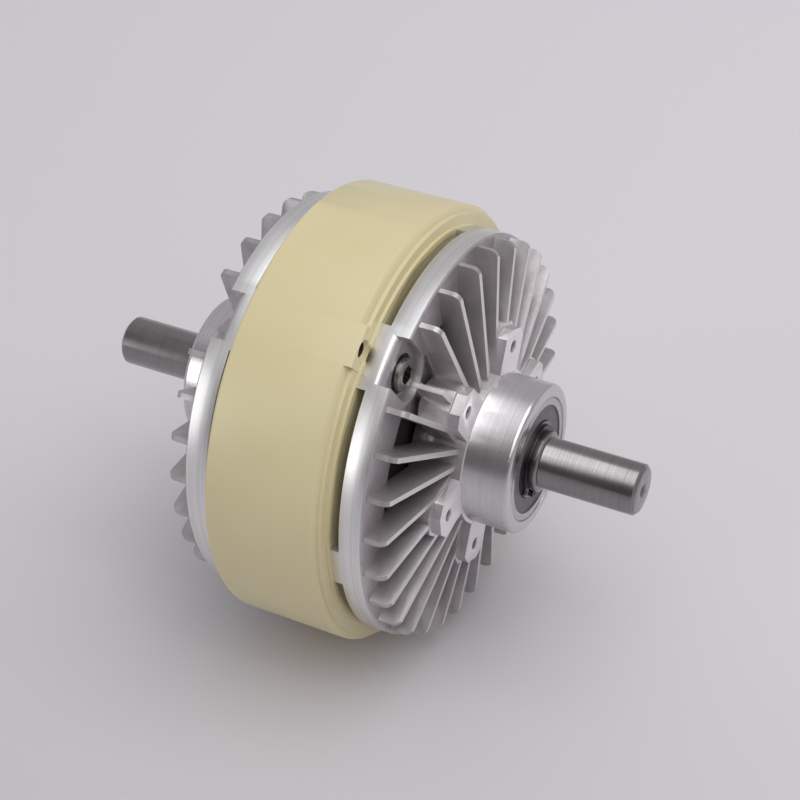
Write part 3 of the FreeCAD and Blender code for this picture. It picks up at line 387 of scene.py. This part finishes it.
def yoke_face(face):
    """Painted outside; inside the register and in the tapped hole, near black as painted shade."""
    place = face.center
    off_hole = (place - YOKE_HOLE_AT).yz.length
    in_hole = place.x > 0 and off_hole < YOKE_HOLE_RADIUS + FACE_REACH
    in_register = distance_from_axis(place) < REGISTER_RADIUS + EDGE_REACH
    return DARK_INSIDE_SHADE if in_hole or in_register else PAINT


def finish_nodes():
    """Gives every node its slot's finish, and then the covers, the yoke and the shafts their details."""
    slot_of = {entry["node"]: entry["material_slot"] for entry in frame["record"]["subparts"]}
    for name, piece in NODES.items():
        piece.data.materials.clear()
        piece.data.materials.append(SLOTS[slot_of[name]])
        shade(piece)
    for side in ("left", "right"):
        # inner rings get the darker bearing steel as painted shade
        NODES[f"{side}_bearing_inner_ring"].data.materials[0] = SHADED_INNER_RING
        finish_faces(NODES[f"{side}_cover"], cover_face, [CAST, TURNED, MILLED, RIM, CREST_HIGHLIGHT])
        soften(NODES[f"{side}_cover"], COVER_EDGE)
    for name in ("yoke_body", "yoke_cheek"):
        finish_faces(NODES[name], yoke_face, [PAINT, DARK_INSIDE_SHADE])
    for name in ("yoke_body", "driven_shaft", "drive_shaft"):
        soften(NODES[name], YOKE_AND_SHAFT_EDGE)
    shading = turned_shading()
    for piece in NODES.values():
        piece.modifiers.new("turned_shading", "NODES").node_group = shading


# Stage

def paper():
    """Pale matt paper, darker near the camera as painted shade and lighter towards the back."""
    made, tree, shader = material("floor", (0.70, 0.68, 0.72), PAPER_ROUGHNESS)
    across = add(tree, "ShaderNodeSeparateXYZ", {"Vector": object_place(tree)}).outputs["Y"]
    inputs = {"Value": across, "From Min": PAPER_NEAR, "From Max": PAPER_FAR}
    depth = add(tree, "ShaderNodeMapRange", inputs).outputs["Result"]
    # the ramp paints shade on the paper near the camera
    tree.links.new(ramp(tree, depth, PAPER_TONES_AND_SHADE), shader.inputs["Base Color"])
    return made


def floor():
    """A square of paper, level with the yoke's lowest line."""
    corners = [(-1, -1), (1, -1), (1, 1), (-1, 1)]
    mesh = bpy.data.meshes.new("floor")
    places = [(x * PAPER_REACH, y * PAPER_REACH, FLOOR) for x, y in corners]
    mesh.from_pydata(places, [], [(0, 1, 2, 3)])
    mesh.materials.append(paper())
    piece = bpy.data.objects.new("floor", mesh)
    bpy.context.scene.collection.objects.link(piece)


def softbox(name, place, size, power):
    """A soft rectangular lamp turned towards the object."""
    lamp = bpy.data.lights.new(name, "AREA")
    lamp.shape = "RECTANGLE"
    lamp.size, lamp.size_y = size
    lamp.energy = power
    piece = bpy.data.objects.new(name, lamp)
    piece.location = place
    piece.rotation_euler = Vector(place).to_track_quat("Z", "Y").to_euler()
    piece.visible_camera = False
    bpy.context.scene.collection.objects.link(piece)


def world():
    """A pale studio: bright overhead, dim towards the camera, with walls behind and at the sides."""
    made = bpy.data.worlds.new("studio")
    made.use_nodes = True
    tree = made.node_tree
    direction = add(tree, "ShaderNodeTexCoord").outputs["Generated"]
    split = add(tree, "ShaderNodeSeparateXYZ", {"Vector": direction})
    sky = ramp(tree, split.outputs["Z"], SKY)
    back = ramp(tree, split.outputs["Y"], BACK_WALL)
    sides = ramp(tree, number(tree, "ABSOLUTE", split.outputs["X"]), SIDE_WALLS)
    background = tree.nodes["Background"]
    tree.links.new(lighter(tree, lighter(tree, sky, back), sides), background.inputs["Color"])
    background.inputs["Strength"].default_value = 1.0
    bpy.context.scene.world = made


def camera():
    lens = bpy.data.cameras.new("camera")
    lens.lens = CAMERA_LENS
    lens.sensor_width = CAMERA_SENSOR
    lens.clip_end = CAMERA_SIGHT
    piece = bpy.data.objects.new("camera", lens)
    piece.location = CAMERA_AT
    piece.rotation_euler = CAMERA_BACK.to_track_quat("Z", "Y").to_euler()
    bpy.context.scene.collection.objects.link(piece)
    bpy.context.scene.camera = piece


finish_nodes()
floor()
world()
for lamp_name, lamp_facts in LAMPS.items():
    softbox(lamp_name, **lamp_facts)
camera()
bpy.context.scene.view_settings.view_transform = "Standard"
